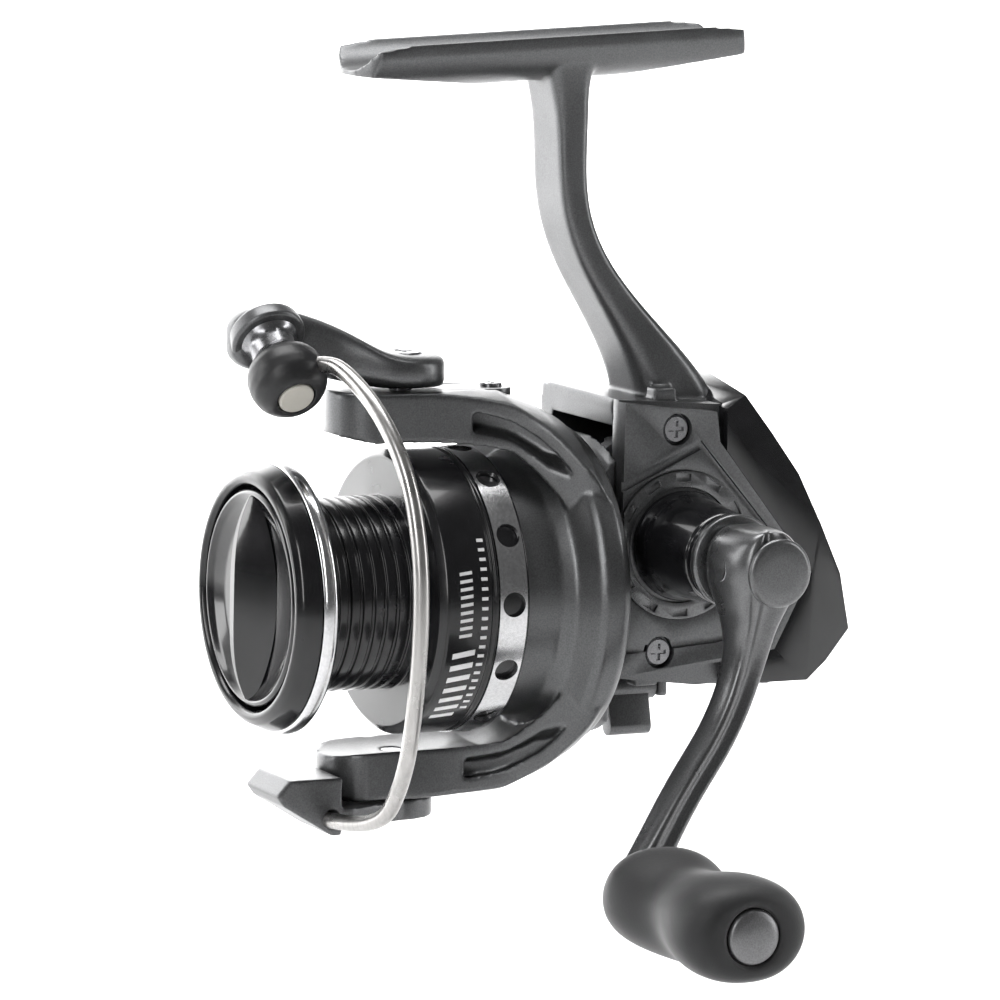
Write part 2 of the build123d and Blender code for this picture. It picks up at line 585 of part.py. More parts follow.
def roller_turned(points):
    """A profile of (distance along the roller's axis, radius) points turned about that axis."""
    profile = outline(Plane(origin=ROLL.origin, x_dir=ROLL.z_dir, z_dir=ROLL.y_dir), points)
    with BuildPart() as body:
        revolve(profile, axis=Axis(ROLL.origin, ROLL.z_dir))
    return body.part


with BuildPart() as bail_arm:
    with BuildSketch(Plane.XY.offset(BOSS_LOW)):
        with Locations((PIVOT_X, 0)):
            Circle(6.0)
    extrude(amount=BOSS_HIGH)
    with BuildSketch(Plane.XY.offset(BOSS_LOW)):
        with BuildLine():
            Polyline((PIVOT_X, -5.2), (-45.5, -3.2), (-50.6, 3.3), (-58.4, 3.4), (-58.6, 6.0), (-50, 6.6),
                     (PIVOT_X, 5.8), close=True)
        make_face()
    extrude(amount=LEVER_HIGH)
    with BuildSketch(ROLL.offset(-3.6)):
        Circle(4.6)
    extrude(amount=2.0)
    with BuildSketch(Plane.XZ.offset(-6.4)):
        with BuildLine():
            Polyline((-59.4, 30.8), (-59.6, 34.4), (-57, 37.2), (-48, 36.2), (-38, 31.8), (-38, 28.2),
                    (-52, 28.2),
                     close=True)
        make_face()
    extrude(amount=3.1)
    with Locations(Plane(origin=(PIVOT_X, 0, BOSS_LOW + BOSS_HIGH))):
        Hole(1.55, depth=6)
    with Locations(Plane(origin=(PIVOT_X, 0, BOSS_LOW + BOSS_HIGH))):
        Hole(3.1, depth=0.9)
    with BuildSketch(ROLL.offset(-3.9)):
        Circle(1.2)
    extrude(amount=3, mode=Mode.SUBTRACT)
write(bail_arm, "bail_arm")
with BuildPart() as bail_arm_screw:
    add(screw(Plane(origin=(PIVOT_X, 0, BOSS_LOW + BOSS_HIGH - 0.85)), 1.45, 2.95, 10.0, 1.2))
write(bail_arm_screw, "bail_arm_screw")

with BuildPart() as line_roller:
    add(roller_turned([(-1.45, 1.95), (-1.45, 3.9), (-0.6, 3.3), (1.4, 3.1), (2.7, 4.0), (2.7, 1.95)]))
write(line_roller, "line_roller")
with BuildPart() as roller_bush:
    add(tube(ROLL, 1.22, 1.9, -1.4, 2.6))
write(roller_bush, "roller_bush")
DISC = 8.9                          # seat of the roller screw's head, out along the roller's axis
with BuildPart() as wire_end_cap:
    add(roller_turned([(3.0, 0), (3.0, 4.4), (4.2, 5.2), (6.6, 5.3), (8.4, 4.6), (9.6, 3.4),
            (DISC + 0.9, 2.9), (DISC + 0.9, 0)]))
    add(tube(ROLL, 0, 1.3, 2.9, 9.0), mode=Mode.SUBTRACT)
    add(tube(ROLL, 0, 2.5, DISC, DISC + 1), mode=Mode.SUBTRACT)
write(wire_end_cap, "wire_end_cap")
with BuildPart() as roller_screw:
    add(screw(ROLL.offset(DISC + 0.05), 1.2, 2.45, 12.4, 0.9, 0.3))
write(roller_screw, "roller_screw")

WIRE_R = 1.1
WIRE = [(-54.0, -5.6, 31.4), (-50.4, -12.4, 33.0), (-48.6, -19.0, 28.6), (-46.8, -25.0, 19.8),
        (-45.4, -28.4, 10.4),
        (-44.8, -29.2, 0), (-44.9, -27.6, -10.6), (-45.0, -23.2, -20.4), (-46.0, -16.6, -27.6),
                (-49.6, -6.4, -29.0)]
with BuildPart() as bail_wire:
    with BuildLine() as route:
        FilletPolyline(*WIRE, radius=6.6)
    with BuildSketch(Plane(route.wires()[0] @ 0, z_dir=route.wires()[0] % 0)):
        Circle(WIRE_R)
    sweep()
    add(wire_end_cap.part, mode=Mode.SUBTRACT)
    add(roller_screw.part, mode=Mode.SUBTRACT)
with BuildPart() as wire_bracket:
    with BuildSketch(Plane.XY.offset(-BOSS_LOW)):
        with Locations((PIVOT_X, 0)):
            Circle(5.6)
        with BuildLine():
            Polyline((PIVOT_X, -5.4), (-46, -8.4), (-49, -8.4), (-49, 2), (-44, 4.6), (PIVOT_X, 5.4),
                    close=True)
        make_face()
    extrude(amount=-2.8)
    with BuildSketch(Plane.XZ.offset(-2)):
        with BuildLine():
            Polyline((-57.0, -25.4), (-55.2, -23.4), (-47.5, -23.4), (-47.5, -31.2), (-48.8, -31.2),
                    (-56, -26.8),
                     close=True)
        make_face()
    extrude(amount=10.4)
    with Locations(Plane(origin=(PIVOT_X, 0, -BOSS_LOW - 2.8), z_dir=(0, 0, -1))):
        Hole(1.55, depth=6)
    with Locations(Plane(origin=(PIVOT_X, 0, -BOSS_LOW - 2.8), z_dir=(0, 0, -1))):
        Hole(3.0, depth=0.7)
    add(bail_wire.part, mode=Mode.SUBTRACT)
write(bail_wire, "bail_wire")
write(wire_bracket, "wire_bracket")
with BuildPart() as bracket_screw:
    spot = Plane(origin=(PIVOT_X, 0, -BOSS_LOW - 2.1), x_dir=(1, 0, 0), z_dir=(0, 0, -1))
    add(screw(spot, 1.45, 2.9, 8.0, 1.1))
write(bracket_screw, "bracket_screw")

# ---- spool ----
SPOOL = [(SPOOL_NOSE, 15.0), (SPOOL_NOSE, 16.2), (-55.2, 17.9), (-55.2, 17.2), (-52.8, 17.2),
        (-52.0, 15.6), (-50.6, ARBOR_R),
         (SKIRT_FRONT, ARBOR_R), (SKIRT_FRONT, 18.3), (-37.8, SKIRT_R), (-30.3, SKIRT_R), (-30.3, 18.7),
                 (-26.2, 18.7),
         (-26.2, SKIRT_R), (SKIRT_REAR, SKIRT_R), (SKIRT_REAR, 18.0), (-37.0, 18.0), (-37.0, 11.6),
                 (-46.0, 11.6),
         (-46.0, 4.2), (-42.2, 4.2), (-42.2, SHAFT_R + RUN), (-48.0, SHAFT_R + RUN), (-48.0, 10.6),
                 (-53.2, 10.6), (-53.2, 15.0)]
with BuildPart() as spool:
    add(turned(SPOOL))
    for groove_x in range(6):
        at = -49.4 + groove_x * 1.75
        ring = [(at, ARBOR_R - 0.35), (at, ARBOR_R + 0.1), (at + 0.5, ARBOR_R + 0.1),
                (at + 0.5, ARBOR_R - 0.35)]
        add(turned(ring), mode=Mode.SUBTRACT)
    for step in range(CLICK_HOLES):
        with BuildSketch(Plane.XY.rotated((360 / CLICK_HOLES * step + 5, 0, 0)).offset(17)):
            with Locations((-28.2, 0)):
                Circle(1.2)
        extrude(amount=3, mode=Mode.SUBTRACT)
write(spool, "spool")
with BuildPart() as skirt_band:
    add(tube(shaft_plane(), 18.72, 19.35, -30.25, -26.25))
    for step in range(CLICK_HOLES):
        with BuildSketch(Plane.XY.rotated((360 / CLICK_HOLES * step + 5, 0, 0)).offset(17)):
            with Locations((-28.2, 0)):
                Circle(1.65)
        extrude(amount=3, mode=Mode.SUBTRACT)
write(skirt_band, "skirt_band")
with BuildPart() as lip_ring:
    add(turned([(-55.15, 17.2), (-55.15, 18.1), (-54.4, LIP_R), (-53.6, LIP_R), (-52.8, 17.8),
            (-52.8, 17.2)]))
write(lip_ring, "lip_ring")
with BuildPart() as click_pawl:
    with BuildSketch(shaft_plane(-41.6)):
        Circle(11.55)
        Circle(7.3, mode=Mode.SUBTRACT)
        with Locations((10, 0)):
            Rectangle(6, 3.0, mode=Mode.INTERSECT)
    extrude(amount=1.1)
write(click_pawl, "click_pawl")
with BuildPart() as drag_washers:
    for start in (-48.5, -49.5, -50.5):
        add(tube(shaft_plane(), 1.7, 9.9, start, start + 0.45))
    for start in (-49.0, -50.0):
        add(tube(shaft_plane(), 1.9, 9.7, start, start + 0.45))
write(drag_washers, "drag_washers")
with BuildPart() as retaining_ring:
    add(tube(shaft_plane(), 9.2, 10.5, -51.1, -50.6))
write(retaining_ring, "drag_retaining_ring")

# ---- drag knob ----
with BuildPart() as drag_knob:
    add(turned([(-58.2, 0), (-58.2, 13.4), (-57.6, 14.6), (-54.2, 14.6), (-54.2, 7.0), (-51.4, 7.0),
            (-51.4, 0)]))
    with BuildSketch(shaft_plane(-58.1)):
        with BuildLine():
            Polyline((-2.2, -6), (-1.0, -13.6), (1.0, -13.6), (2.2, -6), (2.2, 6), (1.0, 13.6),
                    (-1.0, 13.6), (-2.2, 6), close=True)
        make_face()
    extrude(amount=-2.6, taper=12)
    add(tube(shaft_plane(), 0, 1.6, -57.8, -51), mode=Mode.SUBTRACT)
    with BuildSketch(shaft_plane(-51.3)):
        RegularPolygon(3.8, 6)
    extrude(amount=-3.2, mode=Mode.SUBTRACT)
write(drag_knob, "drag_knob")
with BuildPart() as drag_nut:
    with BuildSketch(shaft_plane(-54.3)):
        RegularPolygon(3.7, 6)
        Circle(SHAFT_R + RUN, mode=Mode.SUBTRACT)
    extrude(amount=1.6)
write(drag_nut, "drag_nut")

# ---- crank: barrel, collar, arm and knob ----
ARM_IN, ARM_OUT = 28.4, 35.0
with BuildPart() as handle_barrel:
    barrel = [(0, -13.1), (7.5, -13.1), (7.3, -15), (6.0, -26.9), (0, -26.9)]
    revolve(outline(Plane.XY.offset(CRANK_Z), barrel), axis=Axis((0, 0, CRANK_Z), (0, 1, 0)))
    add(tube(CRANK, 0, 3.2, 12.0, 13.2))
    add(tube(CRANK, 0, 1.85, 4.0, 12.1))
write(handle_barrel, "handle_barrel")
with BuildPart() as handle_collar:
    add(tube(CRANK, 0, 6.2, 26.9, 28.3))
write(handle_collar, "handle_collar")

# The arm's centre line, and its side view: distance along the arm and distance out from the shaft.
# It leans outwards, because the bail sweeps past just inside it.
CRANK_LINE = [(0, CRANK_Z), (0.2, -0.6), (-0.4, -5), (-2.6, -11.8), (-6.1, -16.4), (-10.7, -21.4),
        (-15, -27.6),
              (KNOB_X, KNOB_Z)]
LEAN = [(-8, 28.4), (9, 28.4), (14, 30.6), (19, 30.9), (24, 31.9), (30.5, 33.5), (38.4, 35.7),
        (41, 36.4), (51, 36.4),
        (51, 39.2), (41, 39.6), (34, 39), (24, 36.5), (14, 35), (8, ARM_OUT + 3.7), (-8, ARM_OUT + 3.7)]
reach = sqrt(KNOB_X ** 2 + (KNOB_Z - CRANK_Z) ** 2)
ALONG = Plane(origin=(0, 0, CRANK_Z), x_dir=(KNOB_X / reach, 0, (KNOB_Z - CRANK_Z) / reach),
              z_dir=((CRANK_Z - KNOB_Z) / reach, 0, KNOB_X / reach))
with BuildPart() as lean_slab:
    extrude(outline(ALONG, [(along, -out) for along, out in LEAN]), amount=14, both=True)
with BuildPart() as handle_arm:
    with BuildSketch(NEAR.offset(ARM_IN)):
        with BuildLine():
            Spline(CRANK_LINE)
        trace(line_width=4.8)
        with Locations((0, CRANK_Z)):
            Circle(5.8)
        with Locations((KNOB_X, KNOB_Z)):
            Circle(4.2)
    extrude(amount=12)
    add(lean_slab.part, mode=Mode.INTERSECT)
    with BuildSketch(Plane(origin=(-3.6, -33.0, CRANK_Z), x_dir=(0, 1, 0), z_dir=(-1, 0, 0))):
        Circle(2.1)
    extrude(amount=4, mode=Mode.SUBTRACT)
    with BuildSketch(KNOB.offset(ARM_IN - 1)):
        Circle(1.6)
    extrude(amount=14, mode=Mode.SUBTRACT)
    with BuildSketch(KNOB.offset(36)):
        Circle(2.7)
    extrude(amount=1.6, mode=Mode.SUBTRACT)
write(handle_arm, "handle_arm")
with BuildPart() as handle_screw:
    add(screw(Plane(origin=(-3.7, -33.0, CRANK_Z), x_dir=(0, 1, 0), z_dir=(-1, 0, 0)), 1.0, 1.95, 0.05, 1.4))
write(handle_screw, "handle_screw")
with BuildPart() as knob_spindle:
    add(tube(KNOB, 0, 1.6, 37.6, KNOB_OUT - 2.6))
    add(tube(KNOB, 0, 2.6, 36.5, 37.6))
    add(tube(KNOB, 0, 2.5, KNOB_OUT - 3.4, KNOB_OUT - 2.2))
write(knob_spindle, "knob_spindle")

# Knob sections: distance out from its inner end, half width and half height
GRIP = [(0, 5.6, 4.6), (2.5, 8.4, 6.4), (6.5, 9.0, 6.8), (14.5, 6.9, 5.7), (22.5, 9.2, 6.8), (27, 8.6, 6.4),
        (KNOB_OUT - KNOB_IN, 6.0, 5.0)]
with BuildPart() as knob_grip:
    for out, wide, high in GRIP:
        with BuildSketch(KNOB.offset(KNOB_IN + out)):
            Ellipse(wide, high)
    loft()
    add(tube(KNOB, 0, 2.7, KNOB_IN - 1, KNOB_OUT + 1), mode=Mode.SUBTRACT)
    add(tube(KNOB, 0, 3.7, KNOB_OUT - 3.8, KNOB_OUT + 1), mode=Mode.SUBTRACT)
write(knob_grip, "knob_grip")
with BuildPart() as knob_bushes:
    add(tube(KNOB, 1.65, 2.7, KNOB_IN + 0.5, KNOB_IN + 3))
    add(tube(KNOB, 1.65, 2.7, KNOB_OUT - 7, KNOB_OUT - 4.5))
write(knob_bushes, "knob_bushes")
with BuildPart() as knob_cap:
    dome = [(KNOB_X, -KNOB_OUT - 0.7), (KNOB_X + 2.2, -KNOB_OUT - 0.5), (KNOB_X + 3.5, -KNOB_OUT + 0.3),
            (KNOB_X + 3.65, -KNOB_OUT + 1.8), (KNOB_X, -KNOB_OUT + 1.8)]
    revolve(outline(Plane.XY.offset(KNOB_Z), dome), axis=Axis((KNOB_X, 0, KNOB_Z), (0, 1, 0)))
write(knob_cap, "knob_cap")

# ---- cap of the unused port on the far side ----
with BuildPart() as far_port_cap:
    add(tube(CRANK, 0, 6.2, -PLATE - 2.2, -PLATE))
    add(tube(CRANK, 0, 3.55, -PLATE - 0.1, -PLATE + 2.2))
    with BuildSketch(CRANK.offset(-PLATE - 2.2)):
        Rectangle(8, 1.4)
    extrude(amount=1.0, mode=Mode.SUBTRACT)
write(far_port_cap, "far_port_cap")
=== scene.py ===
import json
from math import cos, pi, radians, sin

import bmesh
import bpy
from mathutils import Matrix, Vector


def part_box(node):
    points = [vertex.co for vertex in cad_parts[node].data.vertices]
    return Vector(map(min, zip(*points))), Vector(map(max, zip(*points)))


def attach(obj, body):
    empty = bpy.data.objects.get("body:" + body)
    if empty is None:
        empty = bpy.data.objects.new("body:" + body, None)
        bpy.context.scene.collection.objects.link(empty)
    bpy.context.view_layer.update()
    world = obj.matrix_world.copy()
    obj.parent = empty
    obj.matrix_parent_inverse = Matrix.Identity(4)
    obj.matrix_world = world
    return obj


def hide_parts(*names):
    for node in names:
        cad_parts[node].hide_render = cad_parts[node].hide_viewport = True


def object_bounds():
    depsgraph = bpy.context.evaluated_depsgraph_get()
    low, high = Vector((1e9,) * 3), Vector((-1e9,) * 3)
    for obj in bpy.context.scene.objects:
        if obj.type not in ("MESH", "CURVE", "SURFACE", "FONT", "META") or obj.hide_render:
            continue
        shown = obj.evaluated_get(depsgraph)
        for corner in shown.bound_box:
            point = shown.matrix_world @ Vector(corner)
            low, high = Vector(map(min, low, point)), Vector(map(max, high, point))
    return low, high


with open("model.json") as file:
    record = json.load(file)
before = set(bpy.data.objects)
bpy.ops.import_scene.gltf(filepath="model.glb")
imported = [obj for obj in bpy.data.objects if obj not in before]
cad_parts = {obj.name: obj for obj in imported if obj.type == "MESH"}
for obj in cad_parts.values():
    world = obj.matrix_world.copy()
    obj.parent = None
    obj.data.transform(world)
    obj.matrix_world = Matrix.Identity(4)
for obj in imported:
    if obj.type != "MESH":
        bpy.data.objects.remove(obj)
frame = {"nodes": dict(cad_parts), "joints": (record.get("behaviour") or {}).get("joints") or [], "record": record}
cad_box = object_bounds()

MM = 0.001
NODES = frame["nodes"]
JOINTS = {joint["name"]: joint for joint in frame["joints"]}

# ---- the shaft's own frame: X along the main shaft, Z towards the rod, its origin under the crank ----
SHAFT_X = Vector(JOINTS["rotor_spin"]["axis"])
SHAFT_Z = -Vector(JOINTS["bail_swing"]["axis"])
SHAFT_Y = Vector(JOINTS["handle_crank"]["axis"])
CRANK_POINT = Vector(JOINTS["handle_crank"]["pos_m"])
ROTOR_POINT = Vector(JOINTS["rotor_spin"]["pos_m"])
SHAFT_ORIGIN = ROTOR_POINT + SHAFT_X * (CRANK_POINT - ROTOR_POINT).dot(SHAFT_X)
SHAFT = Matrix((SHAFT_X, SHAFT_Y, SHAFT_Z)).transposed().to_4x4()
SHAFT.translation = SHAFT_ORIGIN


def at(x, y, z):
    """A point given in millimetres in the shaft's frame, in the row's metres."""
    return SHAFT @ Vector((x * MM, y * MM, z * MM))


# ======================= materials =======================
def shader(name, colour, metallic, roughness, coat=0.0, coat_roughness=0.1, specular=0.5, anisotropic=0.0):
    """A material whose constants sit on the Principled shader's own sockets."""
    material = bpy.data.materials.new(name)
    material.use_nodes = True
    tree = material.node_tree
    surface = tree.nodes["Principled BSDF"]
    surface.inputs["Base Color"].default_value = (*colour, 1)
    surface.inputs["Metallic"].default_value = metallic
    surface.inputs["Roughness"].default_value = roughness
    surface.inputs["Specular IOR Level"].default_value = specular
    surface.inputs["Coat Weight"].default_value = coat
    surface.inputs["Coat Roughness"].default_value = coat_roughness
    surface.inputs["Anisotropic"].default_value = anisotropic
    return material, tree, surface


def coordinates(tree, scale=(1, 1, 1)):
    """Object coordinates, stretched so that a pattern can be drawn out along an axis."""
    source = tree.nodes.new("ShaderNodeTexCoord")
    mapping = tree.nodes.new("ShaderNodeMapping")
    mapping.inputs["Scale"].default_value = scale
    tree.links.new(source.outputs["Object"], mapping.inputs["Vector"])
    return mapping.outputs["Vector"]


def noise_map(tree, vector, scale, detail=4.0, roughness=0.55):
    node = tree.nodes.new("ShaderNodeTexNoise")
    node.inputs["Scale"].default_value = scale
    node.inputs["Detail"].default_value = detail
    node.inputs["Roughness"].default_value = roughness
    tree.links.new(vector, node.inputs["Vector"])
    return node.outputs["Fac"]


def span(tree, value, low, high, start=0.3, end=0.7):
    """Maps a pattern's middle range to low..high."""
    node = tree.nodes.new("ShaderNodeMapRange")
    node.inputs["From Min"].default_value = start
    node.inputs["From Max"].default_value = end
    node.inputs["To Min"].default_value = low
    node.inputs["To Max"].default_value = high
    tree.links.new(value, node.inputs["Value"])
    return node.outputs["Result"]


def two_tone(tree, value, dark, light, start=0.3, end=0.7):
    node = tree.nodes.new("ShaderNodeValToRGB")
    node.color_ramp.elements[0].position = start
    node.color_ramp.elements[0].color = (*dark, 1)
    node.color_ramp.elements[1].position = end
    node.color_ramp.elements[1].color = (*light, 1)
    tree.links.new(value, node.inputs["Fac"])
    return node.outputs["Color"]


def bumped(tree, surface, height, distance, strength=1.0, under=None):
    node = tree.nodes.new("ShaderNodeBump")
    node.inputs["Distance"].default_value = distance
    node.inputs["Strength"].default_value = strength
    tree.links.new(height, node.inputs["Height"])
    if under:
        tree.links.new(under, node.inputs["Normal"])
    tree.links.new(node.outputs["Normal"], surface.inputs["Normal"])
    return node.outputs["Normal"]


def scaled(colour, factor):
    return tuple(min(1.0, channel * factor) for channel in colour)


def painted(name, colour, metallic=0.55, roughness=0.36, flake=0.00002, coat=0.25):
    """Sprayed metallic paint: fine flake, faint mottling, an uneven gloss."""
    material, tree, surface = shader(name, colour, metallic, roughness, coat=coat, coat_roughness=0.22)
    here = coordinates(tree)
    flakes = noise_map(tree, here, 5200, 2.0)
    mottle = noise_map(tree, here, 90, 5.0)
    mix = tree.nodes.new("ShaderNodeMix")
    mix.data_type = "RGBA"
    mix.blend_type = "MULTIPLY"
    mix.inputs[0].default_value = 1.0
    tree.links.new(two_tone(tree, flakes, scaled(colour, 0.82), scaled(colour, 1.2)), mix.inputs[6])
    tree.links.new(two_tone(tree, mottle, (0.9, 0.9, 0.9), (1, 1, 1)), mix.inputs[7])
    tree.links.new(mix.outputs[2], surface.inputs["Base Color"])
    tree.links.new(span(tree, mottle, roughness - 0.05, roughness + 0.07), surface.inputs["Roughness"])
    orange_peel = bumped(tree, surface, noise_map(tree, here, 700, 2.0), 0.00004, 0.35)
    bumped(tree, surface, flakes, flake, 0.5, orange_peel)
    return material


def lacquered(name, colour, roughness=0.12, coat=0.6):
    """Gloss black plastic or anodising with a faint swirl of handling marks."""
    material, tree, surface = shader(name, colour, 0.0, roughness, coat=coat, coat_roughness=0.06)
    here = coordinates(tree)
    haze = noise_map(tree, here, 160, 6.0)
    tone = two_tone(tree, haze, scaled(colour, 0.8), scaled(colour, 1.5))
    tree.links.new(tone, surface.inputs["Base Color"])
    tree.links.new(span(tree, haze, roughness - 0.03, roughness + 0.09), surface.inputs["Roughness"])
    bumped(tree, surface, noise_map(tree, here, 420, 2.0), 0.00003, 0.25)
    return material


def polished(name, colour, roughness=0.16, stretch=(1, 1, 1), grain=2600):
    """Turned or drawn metal with a fine directional grain."""
    material, tree, surface = shader(name, colour, 1.0, roughness)
    here = coordinates(tree, stretch)
    lines = noise_map(tree, here, grain, 3.0)
    smear = noise_map(tree, coordinates(tree), 220, 4.0)
    tone = two_tone(tree, lines, scaled(colour, 0.86), scaled(colour, 1.08))
    tree.links.new(tone, surface.inputs["Base Color"])
    tree.links.new(span(tree, smear, roughness - 0.05, roughness + 0.08), surface.inputs["Roughness"])
    bumped(tree, surface, lines, 0.000012, 0.5)
    return material


def rubbery(name, colour):
    """Soft-touch rubber: a fine matt grain and slightly shinier worn patches."""
    material, tree, surface = shader(name, colour, 0.0, 0.58, specular=0.42)
    surface.inputs["Sheen Weight"].default_value = 0.25
    surface.inputs["Sheen Roughness"].default_value = 0.45
    here = coordinates(tree)
    wear = noise_map(tree, here, 130, 5.0)
    tone = two_tone(tree, wear, scaled(colour, 0.8), scaled(colour, 1.35))
    tree.links.new(tone, surface.inputs["Base Color"])
    tree.links.new(span(tree, wear, 0.5, 0.66), surface.inputs["Roughness"])
    bumped(tree, surface, noise_map(tree, here, 3600, 3.0), 0.00004, 0.6)
    return material


def moulded(name, colour, roughness=0.45):
    """Plain moulded plastic with a fine grain."""
    material, tree, surface = shader(name, colour, 0.0, roughness)
    here = coordinates(tree)
    cloud = noise_map(tree, here, 200, 4.0)
    tone = two_tone(tree, cloud, scaled(colour, 0.9), scaled(colour, 1.06))
    tree.links.new(tone, surface.inputs["Base Color"])
    tree.links.new(span(tree, cloud, roughness - 0.05, roughness + 0.08), surface.inputs["Roughness"])
    bumped(tree, surface, noise_map(tree, here, 2400, 2.0), 0.00003, 0.4)
    return material


GUNMETAL = painted("gunmetal_paint", (0.13, 0.132, 0.135), metallic=0.8, roughness=0.36)
TRIM = painted("trim_paint", (0.16, 0.162, 0.165), metallic=0.85, roughness=0.3)
ARM_PAINT = painted("arm_paint", (0.165, 0.167, 0.17), metallic=0.85, roughness=0.3)
GLOSS_BLACK = lacquered("gloss_black", (0.008, 0.008, 0.009))
SPOOL_BLACK = lacquered("spool_black", (0.006, 0.006, 0.007), roughness=0.2, coat=0.25)
SATIN_BLACK = moulded("satin_black", (0.012, 0.012, 0.013), 0.38)
BRIGHT = polished("bright_chrome", (0.72, 0.72, 0.73), 0.16)
DARK_SCREW = polished("dark_screw", (0.3, 0.3, 0.31), 0.24)
WIRE_METAL = polished("drawn_wire", (0.5, 0.49, 0.48), 0.28, (1, 1, 0.06), 1800)
STEEL = polished("ground_steel", (0.56, 0.56, 0.57), 0.3)
BRASS = polished("machined_brass", (0.72, 0.5, 0.2), 0.28)
ZINC = polished("cast_zinc", (0.46, 0.46, 0.48), 0.42)
NYLON = moulded("nylon", (0.7, 0.68, 0.6))
RUBBER = rubbery("knob_rubber", (0.014, 0.014, 0.015))
CAP_METAL = painted("cap_metal", (0.2, 0.2, 0.205), metallic=0.85, roughness=0.36)
IVORY = moulded("ivory_cap", (0.52, 0.5, 0.45), 0.35)
MARKING = moulded("marking_white", (0.85, 0.85, 0.85), 0.4)

SLOT_MATERIALS = {
    "gunmetal": GUNMETAL, "trim": TRIM, "gloss_black": GLOSS_BLACK, "spool_black": SPOOL_BLACK,
    "bright": BRIGHT, "wire": WIRE_METAL, "steel": STEEL, "brass": BRASS, "zinc": ZINC, "nylon": NYLON,
    "knob_rubber": RUBBER, "knob_cap": CAP_METAL,
}
SLOT_OF = {part["node"]: part["material_slot"] for part in frame["record"]["subparts"]}
BODY_OF = {node: body for body, nodes in frame["record"]["behaviour"]["bodies"].items() for node in nodes}


def dress(thing, material):
    thing.data.materials.clear()
    thing.data.materials.append(material)


for node_name, node in NODES.items():
    dress(node, SLOT_MATERIALS[SLOT_OF[node_name]])


# ======================= mesh helpers =======================
def settle(piece, node_name, material, *also_replaced):
    """Stands a finished piece in for its CAD node: material and body, with the node hidden."""
    dress(piece, material)
    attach(piece, BODY_OF[node_name])
    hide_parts(node_name, *also_replaced)
    return piece


def new_object(name, mesh):
    thing = bpy.data.objects.new(name, mesh)
    bpy.context.scene.collection.objects.link(thing)
    return thing


def mesh_object(name, work):
    """Turns finished bmesh work into an object, its faces all looking outwards."""
    bmesh.ops.recalc_face_normals(work, faces=work.faces)
    mesh = bpy.data.meshes.new(name)
    work.to_mesh(mesh)
    work.free()
    return new_object(name, mesh)


def softened(thing, levels=2):
    soften = thing.modifiers.new("soften", "SUBSURF")
    soften.levels = soften.render_levels = levels
    return baked(thing)


def skin(work, rings):
    """Joins closed rings of equal count, each to the next."""
    count = len(rings[0])
    for near, far in zip(rings, rings[1:]):
        for step in range(count):
            after = (step + 1) % count
            work.faces.new((near[step], near[after], far[after], far[step]))


def beside(thing, material, node_name):
    """A second piece that moves with a node's body and takes the given material, without replacing it."""
    dress(thing, material)
    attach(thing, BODY_OF[node_name])


def baked(thing, smooth=True):
    """Applies every modifier, leaving one plain mesh."""
    bpy.context.view_layer.update()
    result = bpy.data.meshes.new_from_object(thing.evaluated_get(bpy.context.evaluated_depsgraph_get()))
    thing.modifiers.clear()
    thing.data = result
    for face in result.polygons:
        face.use_smooth = smooth
    return thing


def copy_of(node_name, name):
    """A welded copy of a CAD node's mesh, to be reworked."""
    mesh = NODES[node_name].data.copy()
    mesh.name = name
    work = bmesh.new()
    work.from_mesh(mesh)
    bmesh.ops.remove_doubles(work, verts=work.verts, dist=1e-6)
    work.to_mesh(mesh)
    work.free()
    if "custom_normal" in mesh.attributes:
        mesh.attributes.remove(mesh.attributes["custom_normal"])
    return new_object(name, mesh)


def cast(node_name, voxel, passes, keep):
    """A casting's softened skin: the CAD shape remeshed and its edges relaxed."""
    thing = copy_of(node_name, node_name + "_cast")
    remesh = thing.modifiers.new("remesh", "REMESH")
    remesh.mode = "VOXEL"
    remesh.voxel_size = voxel * MM
    relax = thing.modifiers.new("relax", "SMOOTH")
    relax.factor = 0.5
    relax.iterations = passes
    thin = thing.modifiers.new("thin", "DECIMATE")
    thin.ratio = keep
    return baked(thing)


def crisp(node_name, width, angle=30, smooth_below=38):
    """A moulded or machined part with a fine rounded edge all over."""
    thing = copy_of(node_name, node_name + "_edged")
    work = bmesh.new()
    work.from_mesh(thing.data)
    bmesh.ops.dissolve_limit(work, angle_limit=radians(1.0), verts=work.verts, edges=work.edges)
    work.to_mesh(thing.data)
    work.free()
    bevel = thing.modifiers.new("bevel", "BEVEL")
    bevel.width = width * MM
    bevel.segments = 2
    bevel.limit_method = "ANGLE"
    bevel.angle_limit = radians(angle)
    bevel.use_clamp_overlap = True
    baked(thing)
    shade(thing, smooth_below)
    return thing


def smoothed(node_name, angle=30):
    """A turned or swept part whose facets shade as one curve."""
    thing = copy_of(node_name, node_name + "_smooth")
    baked(thing)
    shade(thing, angle)
    return thing


def shade(thing, angle):
    """Marks edges sharper than the angle, so that flats stay flat under smooth shading."""
    work = bmesh.new()
    work.from_mesh(thing.data)
    for edge in work.edges:
        if len(edge.link_faces) == 2 and edge.calc_face_angle(0) > radians(angle):
            edge.smooth = False
    work.to_mesh(thing.data)
    work.free()


# ======================= pieces: castings, covers and screws =======================
CAST = {"body_frame": (0.3, 5, 0.5), "rotor_frame": (0.3, 5, 0.5),
        "wire_bracket": (0.2, 14, 0.6)}
for name, (voxel, passes, keep) in CAST.items():
    settle(cast(name, voxel, passes, keep), name, GUNMETAL)

